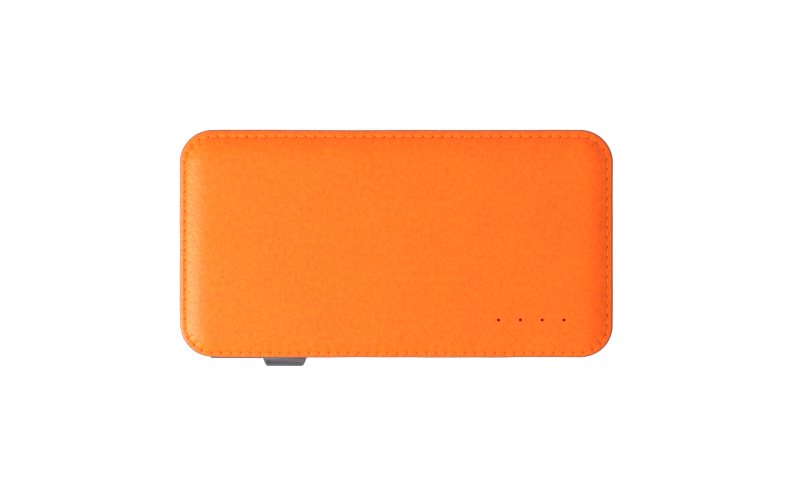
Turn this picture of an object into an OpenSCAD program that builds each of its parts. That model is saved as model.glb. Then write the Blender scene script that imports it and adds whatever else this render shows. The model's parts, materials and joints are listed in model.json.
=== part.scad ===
// Slim power bank in sewn leather covers, with a short charging cable that clips into its long side.
// Millimetres. It lies on its back: +X is the socket end, -Y the cable side, +Z the front cover with
// the four charge lights. The origin is the middle of the face that it rests on.

/* [Body] */
// Length over the covers
body_l = 138; // [120:0.5:170]
// Width over the covers
body_w = 72.6; // [66:0.2:90]
// Thickness over both crowns
body_t = 17; // [17:0.5:22]
// Corner radius of the covers in plan
corner_r = 10.5; // [8.75:0.25:13]

/* [Covers] */
// Thickness of the leather
leather_t = 0.9; // [0.7:0.05:1.1]
// Foam between the leather and the lid under it
padding_t = 0.8; // [0.5:0.05:1.2]
// Stiff band sewn under the edge of the leather
band_t = 0.5; // [0.4:0.05:0.7]
// Flat sewn edge, from the outline to the foot of the roll
flange_w = 2.9; // [2.6:0.05:3.1]
// Height of the crown above the sewn edge
crown_rise = 2.2; // [1.8:0.05:2.4]
// Width of the roll between the sewn edge and the crown
roll_w = 5.4; // [4.6:0.1:5.6]

/* [Stitching] */
// Stitch line, from the outline
stitch_inset = 1.9; // [1.8:0.05:2.4]
// Distance from one stitch to the next
stitch_pitch = 3.1; // [2:0.1:5]
// Diameter of the thread
thread_d = 0.5; // [0.35:0.05:0.6]

/* [Housing] */
// Wall of the side frame
frame_wall = 1.5; // [1.2:0.1:1.8]
// How far the frame stands in from the covers
frame_inset = 0.5; // [0.3:0.05:0.6]
// Thickness of the two lids
lid_t = 1.2; // [1:0.05:1.3]
// Radius of the screw bosses
boss_r = 2.4; // [2.1:0.1:2.6]

/* [Cable] */
// Middle of the finger grip, from the left end
grip_from_left = 33.4; // [31:0.1:45]
// Length of the grip where it leaves the covers
grip_l = 14.15; // [11:0.05:16]
// How far the grip stands out past the covers
grip_out = 2.8; // [2:0.1:4]
// Length of the cap over the plug's tip
cap_l = 16.5; // [14:0.1:18]
// Right end of the cable bay, from the right end
bay_from_right = 19.5; // [19.5:0.1:24]
// Depth of the bay behind the covers' edge
bay_depth = 4.7; // [4.7:0.1:5.2]
// Thickness of the flat cable
cable_t = 2; // [1.6:0.1:2.2]
// Width of the flat cable
cable_w = 5.2; // [4.6:0.1:5.6]

/* [Charge lights] */
// Middle of the row, from the right end
lights_from_right = 26.1; // [24:0.1:30]
// Row, from the cable side
lights_from_front = 12.1; // [11.6:0.1:16]
// Distance from one light to the next
light_pitch = 6.93; // [5:0.01:8]
// Diameter of the hole in the leather
light_hole_d = 0.8; // [0.6:0.05:1.2]

/* [Socket end] */
// Middle of the USB-A socket across the body
usb_a_y = 15; // [14:0.5:16]
// Middle of the micro-USB socket across the body
micro_y = 0; // [-2:0.5:2]
// Middle of the power button across the body
button_y = -15; // [-16:0.5:-13]
// Length of the button
button_l = 10; // [8:0.1:11]
// Height of the button
button_h = 3.8; // [3:0.1:4.2]
// Travel of the button
button_travel = 0.35; // [0.2:0.05:0.35]

/* [Hidden] */
$fn = 64;

// Clearances
face_gap = 0.05;    // between stacked layers
slide_gap = 0.3;    // round a piece that moves
snug_gap = 0.1;     // round a piece that is fitted by hand
through = 1;        // how far a cut runs past what it cuts

// Heights are counted from the mid-plane, where the two halves mirror each other
crown_h = body_t / 2;
flange_h = crown_h - crown_rise;
leather_under_h = flange_h - leather_t;
side_h = leather_under_h - band_t;
lid_h = crown_h - leather_t - padding_t;
lid_in_h = lid_h - lid_t;
lid_under_h = side_h - lid_t;

// The roll is an arc that leaves the crown level and lands on the sewn edge
roll_r = (roll_w * roll_w + crown_rise * crown_rise) / (2 * crown_rise);
roll_h = crown_h - roll_r;
roll_x = corner_r - flange_w - roll_w;

// Side frame, lids and bosses
frame_r = corner_r - frame_inset;
frame_l = body_l - 2 * frame_inset;
frame_w = body_w - 2 * frame_inset;
frame_in = frame_inset + frame_wall;
lid_inset = frame_in + snug_gap;
ledge_w = 1;
ledge_t = 0.8;
boss_in = flange_w + roll_w - 0.8;
corner_step = (corner_r - boss_in) / sqrt(2);
boss_left_x = -body_l / 2 + boss_in;
boss_left_y = 18;
boss_right_x = body_l / 2 - corner_r + corner_step;
boss_right_y = body_w / 2 - corner_r + corner_step;
bosses = [
    [boss_left_x, -boss_left_y], [boss_left_x, boss_left_y],
    [boss_right_x, -boss_right_y], [boss_right_x, boss_right_y]
];
pilot_r = 0.7;
screw_r = 0.85;
screw_head_r = 1.5;
screw_head_t = 0.9;
screw_l = 5;
pillar_floor_h = lid_under_h + 1.2;

// Cable bay, seen from above: y grows inwards from the covers' edge
edge_y = -body_w / 2;
bay_y = edge_y + bay_depth;
bay_half = lid_under_h;
bay_right = body_l / 2 - bay_from_right;
tray_t = 1;
tray_half = bay_half - face_gap;
cable_y = edge_y + 2.2;
boot_l = 6.2;
cable_end_r = cable_t / 2;
pivot_x = bay_right - boot_l - slide_gap - cable_end_r;

// Plug and its cap, micro-USB sized
plug_half = 3.5;
plug_back_y = bay_y - slide_gap;
tip_w = 6.85;
tip_t = 1.8;
tip_wall = 0.3;
tip_out = 6;
tip_in = 2.5;
tip_y = (edge_y + plug_back_y) / 2;
grip_x = -body_l / 2 + grip_from_left;
plug_front_x = grip_x - grip_l / 2;
plug_rear_x = grip_x + grip_l / 2;
neck_l = 4;
cap_proud = 0.3;
cap_left_x = plug_front_x - cap_l;

// Sockets and boards
board_t = 1;
board_top = -1.6;
board_left = body_l / 2 - 39;
board_right = body_l / 2 - 3.6;
board_front = edge_y + 9.9;
board_back = body_w / 2 - 11.3;
port_x = body_l / 2 - frame_inset - 0.5;
usb_a_w = 13.1;
usb_a_half = 2.85;
usb_a_l = 14;
usb_wall = 0.35;
micro_w = 7.5;
micro_h = 2.8;
micro_l = 5.4;
switch_axis_h = board_top + 1.75;
standoff_r = 2;
standoffs = [[board_left + 3, board_front + 12], [board_left + 3, board_back - 3]];

// Battery
cell_left = boss_left_x + boss_r + 0.5;
cell_right = board_left - 7;
terrace_l = 4;
cell_half_w = body_w / 2 - flange_w - roll_w + 0.4;
cell_tape_t = 0.2;
cell_pad_t = 0.25;
cell_t = (2 * lid_in_h - cell_tape_t - 2 * cell_pad_t) / 2 - face_gap;
cell_low_h = cell_tape_t / 2;

// Charge lights
light_y = edge_y + lights_from_front;
light_x0 = body_l / 2 - lights_from_right - 1.5 * light_pitch;
guide_pin_r = 0.6;
guide_bar_t = 1.1;

leather_colour = [0.98, 0.42, 0.08];
grey = [0.4, 0.37, 0.39];
dark_grey = [0.3, 0.29, 0.3];
metal = [0.78, 0.78, 0.8];

// ---- shared shapes ----

// Lifts shapes drawn about the mid-plane to where the part lies
module mid() {
    translate([0, 0, body_t / 2]) children();
}

// The same shape on the back half
module flipped() {
    mirror([0, 0, 1]) children();
}

// Carries a profile once round a rounded rectangle; its x starts at the corners' centres
module around(l, w, r) {
    for (side = [0:3]) rotate(side * 90) {
        reach = (side % 2 == 0 ? l : w) / 2 - r;
        run = (side % 2 == 0 ? w : l) / 2 - r;
        translate([reach, run, 0]) rotate([90, 0, 0]) linear_extrude(2 * run) children();
        translate([reach, run, 0]) rotate_extrude(angle = 90) children();
    }
}

// Edge of a pillow: a flat foot, then the roll up to the crown
module pillow_profile(reach, top, foot, base) {
    if (foot > base) translate([0, base]) square([reach, foot - base]);
    translate([0, base]) square([roll_x, top - base]);
    intersection() {
        translate([roll_x, roll_h]) circle(r = top - roll_h);
        translate([0, base]) square([reach, top - base]);
    }
}

// Solid pillow: layers of it are cut from each other
module pillow(inset, top, foot, base) {
    around(body_l, body_w, corner_r) pillow_profile(corner_r - inset, top, foot, base);
    translate([corner_r - body_l / 2, corner_r - body_w / 2, base])
        cube([body_l - 2 * corner_r, body_w - 2 * corner_r, top - base]);
}

// Rounded rectangle in plan
module rounded(l, w, r) {
    square([l, w - 2 * r], center = true);
    square([l - 2 * r, w], center = true);
    for (x = [-1, 1], y = [-1, 1]) translate([x * (l / 2 - r), y * (w / 2 - r)]) circle(r = r);
}

// Box between two corners
module span(low, high) {
    translate(low) cube(high - low);
}

// Section drawn across the body as [width, height], carried along +X
module along_x(x0, x1) {
    translate([x0, 0, 0]) rotate([90, 0, 90]) linear_extrude(x1 - x0) children();
}

function light_at(i) = [light_x0 + i * light_pitch, light_y];

module at_lights() {
    for (i = [0:3]) translate(light_at(i)) children();
}

module at_bosses() {
    for (p = bosses) translate(p) children();
}

// ---- covers ----

groove_w = thread_d + 0.1;
groove_d = 0.35;

module leather() {
    difference() {
        pillow(0, crown_h, flange_h, leather_under_h);
        pillow(flange_w / 2, crown_h - leather_t, leather_under_h, leather_under_h - through);
        around(body_l, body_w, corner_r)
            translate([corner_r - stitch_inset - groove_w / 2, flange_h - groove_d])
                square([groove_w, groove_d + through]);
    }
}

module padding() {
    difference() {
        pillow(0, crown_h - leather_t - face_gap, side_h, side_h + face_gap);
        pillow(0, lid_h + face_gap, side_h, side_h - through);
    }
}

module edge_band() {
    around(body_l, body_w, corner_r)
        translate([corner_r - flange_w, side_h]) square([flange_w - frame_inset / 2, band_t]);
}

// Stitch line: a rounded rectangle walked by length, as [x, y, heading]
lap_r = corner_r - stitch_inset;
lap_long = body_l - 2 * corner_r;
lap_short = body_w - 2 * corner_r;
lap_bend = PI / 2 * lap_r;
half_lap = lap_long + lap_short + 2 * lap_bend;

function bend_at(x, y, turned, heading) = [
    x + lap_r * sin(heading + turned), y - lap_r * cos(heading + turned), heading + turned
];

function half_lap_at(s) =
    s < lap_long ? [s - lap_long / 2, -lap_short / 2 - lap_r, 0] :
    s < lap_long + lap_bend ?
        bend_at(lap_long / 2, -lap_short / 2, (s - lap_long) / lap_r * 180 / PI, 0) :
    s < half_lap - lap_bend ?
        [lap_long / 2 + lap_r, s - lap_long - lap_bend - lap_short / 2, 90] :
        bend_at(lap_long / 2, lap_short / 2, (s - half_lap + lap_bend) / lap_r * 180 / PI, 90);

module stitching() {
    count = 2 * round(half_lap / stitch_pitch);
    step = 2 * half_lap / count;
    for (i = [0:count / 2 - 1], turn = [0, 180]) {
        p = half_lap_at((i + 0.5) * step);
        rotate(turn) translate([p[0], p[1], flange_h - groove_d + thread_d / 2]) rotate(p[2])
            rotate([0, 90, 0]) cylinder(h = step * 0.74, d = thread_d, center = true, $fn = 16);
    }
}

module front_leather() color(leather_colour) mid() difference() {
    leather();
    at_lights() cylinder(d = light_hole_d, h = crown_h + through);
}

module front_padding() color("gainsboro") mid() difference() {
    padding();
    at_lights() cylinder(r = guide_pin_r + 0.3, h = crown_h + through);
}

module front_edge_band() color([0.55, 0.42, 0.3]) mid() edge_band();
module front_stitching() color([1, 0.5, 0.2]) mid() stitching();
module back_leather() color(leather_colour) mid() flipped() leather();
module back_padding() color("gainsboro") mid() flipped() padding();
module back_edge_band() color([0.55, 0.42, 0.3]) mid() flipped() edge_band();
module back_stitching() color([1, 0.5, 0.2]) mid() flipped() stitching();

// ---- housing ----

module frame_wall_ring() {
    around(frame_l, frame_w, frame_r)
        translate([frame_r - frame_wall, -side_h]) square([frame_wall, 2 * side_h]);
}

// Inner shelf that carries the lids
module frame_ledges() {
    for (h = [lid_under_h - ledge_t, -lid_under_h])
        around(frame_l, frame_w, frame_r)
            translate([frame_r - frame_wall - ledge_w, h]) square([ledge_w, ledge_t]);
}

module frame_bosses() {
    at_bosses() translate([0, 0, -lid_under_h]) cylinder(r = boss_r, h = 2 * lid_under_h);
    web = 0.6;
    web_half = lid_under_h - ledge_t / 2;
    wall_reach = corner_r - frame_in - corner_step * sqrt(2) + 0.2;
    for (y = [-boss_left_y, boss_left_y])
        span([-body_l / 2 + frame_in - 0.2, y - web, -web_half], [boss_left_x - 1, y + web, web_half]);
    for (side = [-1, 1]) translate([boss_right_x, side * boss_right_y, 0]) rotate(side * 45)
        span([1, -web, -web_half], [wall_reach, web, web_half]);
}

module oval(l, h) {
    square([l - h, h], center = true);
    for (x = [-1, 1]) translate([x * (l - h) / 2, 0]) circle(d = h);
}

module port_cuts() {
    x0 = body_l / 2 - frame_in - ledge_w - through;
    x1 = body_l / 2 + through;
    along_x(x0, x1) {
        translate([usb_a_y, 0]) rounded(usb_a_w + 2 * snug_gap, 2 * usb_a_half + 2 * snug_gap, 0.8);
        translate([micro_y, board_top + micro_h / 2])
            rounded(micro_w + 2 * snug_gap, micro_h + 2 * snug_gap, 1.2);
        translate([button_y, 0]) oval(button_l + 2 * snug_gap, button_h + 2 * snug_gap);
    }
}

module side_frame() color(grey) mid() difference() {
    union() {
        frame_wall_ring();
        frame_ledges();
        frame_bosses();
    }
    span([-body_l / 2 - through, edge_y - through, -bay_half], [bay_right, bay_y, bay_half]);
    span([-body_l / 2 + frame_in, bay_y - 0.5, -bay_half],
         [bay_right + tray_t + face_gap, bay_y + tray_t + snug_gap, bay_half]);
    span([bay_right - through, edge_y + frame_in, -bay_half],
         [bay_right + tray_t + face_gap, bay_y, bay_half]);
    span([bay_right - through, cable_y - boot_neck_out, -boot_flange_half - face_gap],
         [bay_right + tray_t + boot_flange_t + snug_gap, bay_y + tray_t, boot_flange_half + face_gap]);
    at_bosses() translate([0, 0, -body_t]) cylinder(r = pilot_r, h = 2 * body_t);
    port_cuts();
}

module lid() {
    difference() {
        pillow(lid_inset, lid_h, side_h, lid_under_h);
        difference() {
            pillow(lid_inset, lid_in_h, lid_under_h, lid_under_h - through);
            at_bosses() translate([0, 0, lid_under_h]) cylinder(r = boss_r + 0.2, h = lid_t + crown_h);
        }
        at_bosses() {
            cylinder(r = screw_r + snug_gap, h = crown_h + through);
            translate([0, 0, pillar_floor_h]) cylinder(r = screw_head_r + snug_gap, h = crown_h);
        }
    }
}

module front_lid() color(dark_grey) mid() difference() {
    lid();
    at_lights() cylinder(r = guide_pin_r + snug_gap, h = crown_h + through);
}

module back_lid() color(dark_grey) mid() {
    flipped() lid();
    for (p = standoffs) translate([p[0], p[1], -lid_in_h - 0.3]) difference() {
        cylinder(r = standoff_r, h = board_top - board_t + lid_in_h + 0.3);
        translate([0, 0, 0.6]) cylinder(r = pilot_r, h = body_t);
    }
}

// Screw with its head's underside at the origin, pointing down
module screw(l) {
    translate([0, 0, -l]) cylinder(r = pilot_r, h = l + 0.1);
    difference() {
        cylinder(r = screw_head_r, h = screw_head_t);
        for (turn = [0, 90]) rotate(turn)
            translate([-0.9, -0.15, screw_head_t - 0.4]) cube([1.8, 0.3, 1]);
    }
}

module lid_screws() color("silver") mid() {
    at_bosses() translate([0, 0, pillar_floor_h]) screw(pillar_floor_h - 0.5);
    flipped() at_bosses() translate([0, 0, pillar_floor_h]) screw(pillar_floor_h - 0.5);
}

// Floor of the cable bay, and the end wall that grips the cable's boot
module cable_tray() color(grey) mid() difference() {
    intersection() {
        union() {
            span([-body_l / 2, bay_y, -tray_half], [bay_right + tray_t, bay_y + tray_t, tray_half]);
            span([bay_right, edge_y + frame_in + face_gap, -tray_half],
                 [bay_right + tray_t, bay_y + tray_t, tray_half]);
        }
        translate([0, 0, -body_t]) linear_extrude(2 * body_t)
            rounded(body_l - 2 * frame_in - 0.1, body_w - 2 * frame_in - 0.1, corner_r - frame_in - face_gap);
    }
    span([bay_right - through, edge_y, -boot_neck_half],
         [bay_right + 2, cable_y + boot_neck_in, boot_neck_half]);
}

// ---- cable ----

boot_neck_out = 0.9;    // neck, from the cable's middle outwards
boot_neck_in = 1.5;     // and inwards
boot_neck_half = 2.5;
boot_flange_t = 1.2;
boot_flange_half = 2.8;

module boot_wedge(x0, x1, thin, thick) {
    polygon([[x0, -thin / 2], [x0, thin / 2], [x1, thick / 2], [x1, -thick / 2]]);
}

// Tapered strain relief, a neck in the tray's end wall and a flange behind it
module cable_boot() color(dark_grey) mid() translate([0, cable_y, 0]) {
    x0 = bay_right - boot_l;
    intersection() {
        translate([0, 0, -body_t]) linear_extrude(2 * body_t)
            boot_wedge(x0, bay_right - face_gap, cable_t + 0.3, 3.2);
        rotate([90, 0, 0]) translate([0, 0, -body_t]) linear_extrude(2 * body_t)
            boot_wedge(x0, bay_right - face_gap, cable_w + 0.4, 6.2);
    }
    span([bay_right - 0.1, face_gap - boot_neck_out, face_gap - boot_neck_half],
         [bay_right + tray_t + 0.1, boot_neck_in - face_gap, boot_neck_half - face_gap]);
    span([bay_right + tray_t + face_gap, face_gap - boot_neck_out, -boot_flange_half],
         [bay_right + tray_t + boot_flange_t, boot_neck_in + 0.7, boot_flange_half]);
}

// Two conductors that run on from the boot to the main board
module cable_leads() color("firebrick") mid() {
    lead_r = 0.5;
    from_x = bay_right + tray_t + boot_flange_t;
    centre = [from_x, cable_y + 4];
    for (bend = [2.4, 3.6]) translate([centre[0], centre[1], board_top + lead_r]) {
        rotate(-90) rotate_extrude(angle = 90) translate([bend, 0]) circle(r = lead_r, $fn = 24);
        translate([bend, 0, 0]) rotate([-90, 0, 0])
            cylinder(r = lead_r, h = board_front + 1.2 - centre[1], $fn = 24);
    }
}

module flat_cable() color(grey) mid() translate([0, cable_y, 0]) {
    translate([pivot_x, 0, -cable_w / 2]) cylinder(r = cable_end_r, h = cable_w);
    span([plug_rear_x + neck_l - face_gap, -cable_t / 2, -cable_w / 2], [pivot_x, cable_t / 2, cable_w / 2]);
}

// Outline of the finger grip, narrower at its tip
module grip_outline() {
    tip_round = 1.1;
    draw_in = 0.75;
    polygon([[-grip_l / 2, 0.5], [-grip_l / 2, 0], [grip_l / 2, 0], [grip_l / 2, 0.5]]);
    hull() {
        translate([-grip_l / 2, -0.01]) square([grip_l, 0.01]);
        for (x = [-1, 1]) translate([x * (grip_l / 2 - draw_in - tip_round), tip_round - grip_out])
            circle(r = tip_round, $fn = 32);
    }
}

module plug_overmould() color(grey) mid() difference() {
    grip_half = 2.4;
    union() {
        span([plug_front_x, edge_y, -plug_half], [plug_rear_x, plug_back_y, plug_half]);
        intersection() {
            translate([0, 0, -plug_half]) linear_extrude(2 * plug_half)
                polygon([[plug_rear_x, edge_y + 0.3], [plug_rear_x + neck_l, cable_y - cable_t / 2 - 0.2],
                         [plug_rear_x + neck_l, cable_y + cable_t / 2 + 0.2], [plug_rear_x, plug_back_y]]);
            rotate([90, 0, 0]) translate([0, 0, -body_w]) linear_extrude(2 * body_w)
                polygon([[plug_rear_x, -plug_half], [plug_rear_x + neck_l, -cable_w / 2 - 0.2],
                         [plug_rear_x + neck_l, cable_w / 2 + 0.2], [plug_rear_x, plug_half]]);
        }
        translate([grip_x, edge_y, -grip_half]) linear_extrude(2 * grip_half) grip_outline();
    }
    for (side = [-1, 1]) translate([grip_x, edge_y - grip_out / 2, side * grip_half])
        linear_extrude(0.8, center = true) oval(grip_l - 3, 0.9);
    translate([plug_front_x, tip_y, 0]) span([-through, -tip_t / 2 - face_gap, -tip_w / 2 - face_gap],
        [tip_in + face_gap, tip_t / 2 + face_gap, tip_w / 2 + face_gap]);
    span([plug_rear_x + neck_l - 1, cable_y - cable_t / 2 - face_gap, -cable_w / 2 - face_gap],
         [plug_rear_x + neck_l + through, cable_y + cable_t / 2 + face_gap, cable_w / 2 + face_gap]);
}

// Section of the plug's tip, as [thickness, width]: two corners are cut off
module tip_section(inset) {
    cut = 1.1;
    w = tip_w / 2 - inset;
    t = tip_t / 2 - inset;
    polygon([[-t, w - cut], [-t + cut * 0.7, w], [t, w], [t, -w], [-t + cut * 0.7, -w], [-t, cut - w]]);
}

module plug_shell() color(metal) mid() translate([0, tip_y, 0]) difference() {
    along_x(plug_front_x - tip_out, plug_front_x + tip_in) tip_section(0);
    along_x(plug_front_x - tip_out - through, plug_front_x + tip_in + through) tip_section(tip_wall);
}

module plug_insert() color("dimgray") mid() translate([0, tip_y, 0]) {
    along_x(plug_front_x - 1, plug_front_x + tip_in) tip_section(tip_wall + face_gap);
    span([plug_front_x - tip_out + 0.5, -0.25, -2.1], [plug_front_x - 0.9, 0.35, 2.1]);
}

module plug_latches() color(metal) mid()
    for (h = [-1, 1]) translate([plug_front_x - 4.2, tip_y - tip_t / 2, h * 1.9])
        rotate([90, 0, 0]) linear_extrude(0.25) square([1.5, 0.9], center = true);

module plug_cap() color(grey) mid() difference() {
    span([cap_left_x, edge_y - cap_proud, -plug_half], [plug_front_x - snug_gap, plug_back_y, plug_half]);
    span([plug_front_x - tip_out - 1, tip_y - tip_t / 2 - 0.4, -tip_w / 2 - snug_gap / 2],
         [plug_front_x + through, tip_y + tip_t / 2 + snug_gap, tip_w / 2 + snug_gap / 2]);
}

// ---- battery ----

// Pouch cell lying on the mid-plane's tape, with its thin sealed end towards the board
module pouch() {
    translate([(cell_left + cell_right) / 2, 0, cell_low_h]) linear_extrude(cell_t)
        rounded(cell_right - cell_left, 2 * cell_half_w, 2);
    span([cell_right - 0.5, -cell_half_w + 1, cell_low_h + cell_t / 2 - 0.2],
         [cell_right + terrace_l, cell_half_w - 1, cell_low_h + cell_t / 2 + 0.2]);
}

module front_cell() color("silver") mid() pouch();
module back_cell() color("silver") mid() flipped() pouch();

module cell_tape() color("goldenrod") mid()
    span([cell_left + 5, -cell_half_w + 6, -cell_tape_t / 2],
         [cell_right - 5, cell_half_w - 6, cell_tape_t / 2]);

module cell_pads() color("dimgray") mid() for (side = [0, 1]) mirror([0, 0, side])
    span([cell_left + 8, -cell_half_w + 8, cell_low_h + cell_t],
         [cell_right - 8, cell_half_w - 8, cell_low_h + cell_t + cell_pad_t]);

tab_x = cell_right + terrace_l;
guard_t = 0.8;

module cell_tabs() color(metal) mid() {
    h = cell_low_h + cell_t / 2 + 0.2;
    for (y = [-15, 9]) span([tab_x, y, -guard_t / 2], [tab_x + 0.15, y + 4, h]);
    for (y = [-9, 15]) span([tab_x, y - 4, -h], [tab_x + 0.15, y, guard_t / 2]);
}

module protection_board() color("darkgreen") mid()
    span([cell_right + 0.3, -20, -guard_t / 2], [tab_x, 20, guard_t / 2]);

module protection_chips() color([0.1, 0.1, 0.1]) mid()
    for (y = [-8, 0, 8])
        span([cell_right + 0.9, y - 1.5, guard_t / 2], [tab_x - 1, y + 1.5, guard_t / 2 + 0.8]);

// Insulated wire that leaves the protection board and turns down to the main board
module lead(y) {
    lead_r = 0.55;
    bend = 1.2;
    top = guard_t / 2 + lead_r;
    translate([board_left, y, top]) {
        rotate([0, -90, 0]) cylinder(r = lead_r, h = board_left - tab_x + 1.5, $fn = 24);
        translate([0, 0, -bend]) rotate([90, 0, 0]) rotate_extrude(angle = 90)
            translate([bend, 0]) circle(r = lead_r, $fn = 24);
        translate([bend, 0, board_top - top]) cylinder(r = lead_r, h = top - board_top - bend, $fn = 24);
    }
}

module positive_lead() color("red") mid() lead(17.5);
module negative_lead() color([0.12, 0.12, 0.12]) mid() lead(-17.5);

// ---- main board ----

module main_board() color("darkgreen") mid() difference() {
    span([board_left, board_front, board_top - board_t], [board_right, board_back, board_top]);
    translate([0, 0, -body_t]) {
        at_bosses() cylinder(r = boss_r + 0.5, h = 2 * body_t);
        for (p = standoffs) translate(p) cylinder(r = screw_r + snug_gap, h = 2 * body_t);
        translate([port_x - usb_a_l - 0.2, usb_a_y - usb_a_w / 2 - 0.2, 0])
            cube([usb_a_l + 2, usb_a_w + 0.4, 2 * body_t]);
    }
}

module board_screws() color("silver") mid()
    for (p = standoffs) translate([p[0], p[1], board_top]) screw(3);

module power_inductor() color([0.2, 0.2, 0.22]) mid() translate([board_left + 11, 2, board_top]) {
    linear_extrude(0.8) rounded(7, 7, 1);
    translate([0, 0, 0.8]) cylinder(r = 2.6, h = 2);
    translate([0, 0, 2.8]) linear_extrude(0.8) rounded(7, 7, 1);
}

// Flat packages as [x from the board's left edge, y, length, width, height]
board_chip_list = [[20, 3, 5, 5, 0.9], [11, 13, 5, 4, 1.4], [20, 13, 5, 4, 1.4], [20, -8, 4, 3, 1]];
module board_chips() color([0.1, 0.1, 0.1]) mid()
    for (c = board_chip_list) translate([board_left + c[0], c[1], board_top])
        linear_extrude(c[4]) square([c[2], c[3]], center = true);

module board_capacitors() color("tan") mid() {
    for (i = [0:5]) translate([board_left + 6 + 3.2 * i, -16, board_top + 0.6])
        cube([2, 1.25, 1.2], center = true);
    for (i = [0:3]) translate([board_left + 27, 6 - 3.5 * i, board_top + 0.6])
        cube([1.25, 2, 1.2], center = true);
}

module charge_leds() color("white") mid()
    at_lights() translate([0, 0, board_top + 0.4]) cube([2, 1.25, 0.8], center = true);

// Clear bar stuck under the front lid: a pin up to each hole, and one down to each light
module light_guide() color("darkred") mid() {
    top = lid_in_h - face_gap;
    span([light_x0 - 2, light_y - 1.5, top - guide_bar_t],
         [light_x0 + 3 * light_pitch + 2, light_y + 1.5, top]);
    at_lights() {
        translate([0, 0, top - 0.1]) cylinder(r = guide_pin_r, h = lid_h - top, $fn = 32);
        translate([0, 0, board_top + 1.1]) cylinder(r = 0.9, h = top - 0.5 - board_top - 1.1, $fn = 32);
    }
}

// ---- sockets and button ----

module usb_a_shell() color(metal) mid() translate([0, usb_a_y, 0]) {
    difference() {
        along_x(port_x - usb_a_l, port_x) rounded(usb_a_w, 2 * usb_a_half, 0.7);
        along_x(port_x - usb_a_l - through, port_x + through)
            rounded(usb_a_w - 2 * usb_wall, 2 * (usb_a_half - usb_wall), 0.35);
    }
    for (x = [4, 10], side = [-1, 1]) translate([port_x - x, side * (usb_a_w / 2 + 0.7), board_top + 0.2])
        cube([2, 1.5, 0.4], center = true);
}

module usb_a_tongue() color("white") mid() translate([0, usb_a_y, 0]) {
    half_w = usb_a_w / 2 - usb_wall - 0.12;
    inner = usb_a_half - usb_wall - 0.12;
    span([port_x - usb_a_l, -half_w, -inner], [port_x - usb_a_l + 3.6, half_w, inner]);
    span([port_x - usb_a_l + 3.5, -5.55, 0.25], [port_x - 1.4, 5.55, 2.1]);
}

module usb_a_contacts() color("gold") mid()
    for (y = [-3.5, -1, 1, 3.5]) translate([0, usb_a_y + y, 0])
        span([port_x - usb_a_l + 3.6, -0.5, 0.1], [port_x - 2.2, 0.5, 0.25]);

micro_mid_h = board_top + micro_h / 2;

module micro_usb_shell() color(metal) mid() translate([0, micro_y, micro_mid_h]) difference() {
    along_x(port_x - micro_l, port_x) rounded(micro_w, micro_h, 1);
    along_x(port_x - micro_l + 0.3, port_x + through) rounded(micro_w - 0.6, micro_h - 0.6, 0.7);
}

module micro_usb_tongue() color([0.1, 0.1, 0.1]) mid() translate([0, micro_y, micro_mid_h]) {
    span([port_x - micro_l + 0.35, -3, -0.8], [port_x - micro_l + 1.6, 3, 0.8]);
    span([port_x - micro_l + 1.5, -1.9, 0.05], [port_x - 0.8, 1.9, 0.65]);
}

module micro_usb_contacts() color("gold") mid() translate([0, micro_y, micro_mid_h])
    for (i = [-2:2])
        span([port_x - micro_l + 1.6, 0.65 * i - 0.15, -0.05], [port_x - 1.1, 0.65 * i + 0.15, 0.05]);

plunger_r = 0.9;
button_flange_x = body_l / 2 - frame_in - snug_gap;
button_flange_t = 0.8;
button_stem_x = button_flange_x - button_flange_t - 0.6;
switch_front = button_stem_x - face_gap - 1.1;

module switch_body() color([0.12, 0.12, 0.12]) mid() difference() {
    translate([0, button_y, 0])
        span([switch_front - 3, -2.3, board_top], [switch_front, 2.3, board_top + 3.5]);
    translate([switch_front - 1.2, button_y, switch_axis_h]) rotate([0, 90, 0])
        cylinder(r = plunger_r + snug_gap, h = 3);
}

module switch_plunger() color([0.7, 0.5, 0.3]) mid()
    translate([switch_front - 0.7, button_y, switch_axis_h]) rotate([0, 90, 0]) cylinder(r = plunger_r, h = 1.8);

module power_button() color(grey) mid() {
    translate([0, button_y, 0]) {
        along_x(button_flange_x - 0.05, body_l / 2 - 0.1) oval(button_l, button_h);
        along_x(button_flange_x - button_flange_t, button_flange_x) oval(button_l + 2, button_h + 1.6);
    }
    translate([button_stem_x, button_y, switch_axis_h]) rotate([0, 90, 0]) cylinder(r = plunger_r, h = 0.7);
}

// ---- one line per node ----

front_leather();
front_padding();
front_edge_band();
front_stitching();
back_leather();
back_padding();
back_edge_band();
back_stitching();
side_frame();
front_lid();
back_lid();
lid_screws();
cable_tray();
front_cell();
back_cell();
cell_tape();
cell_pads();
cell_tabs();
protection_board();
protection_chips();
positive_lead();
negative_lead();
main_board();
board_screws();
power_inductor();
board_chips();
board_capacitors();
charge_leds();
light_guide();
usb_a_shell();
usb_a_tongue();
usb_a_contacts();
micro_usb_shell();
micro_usb_tongue();
micro_usb_contacts();
switch_body();
switch_plunger();
power_button();
cable_boot();
cable_leads();
flat_cable();
plug_overmould();
plug_shell();
plug_insert();
plug_latches();
plug_cap();
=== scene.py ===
"""Leather-covered power bank with a stowed charging cable, modelled over its CAD frame."""
import json
import math
import random

import bmesh
import bpy
from bpy.props import FloatProperty, FloatVectorProperty, IntProperty, PointerProperty
from mathutils import Matrix, Vector, noise


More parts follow.
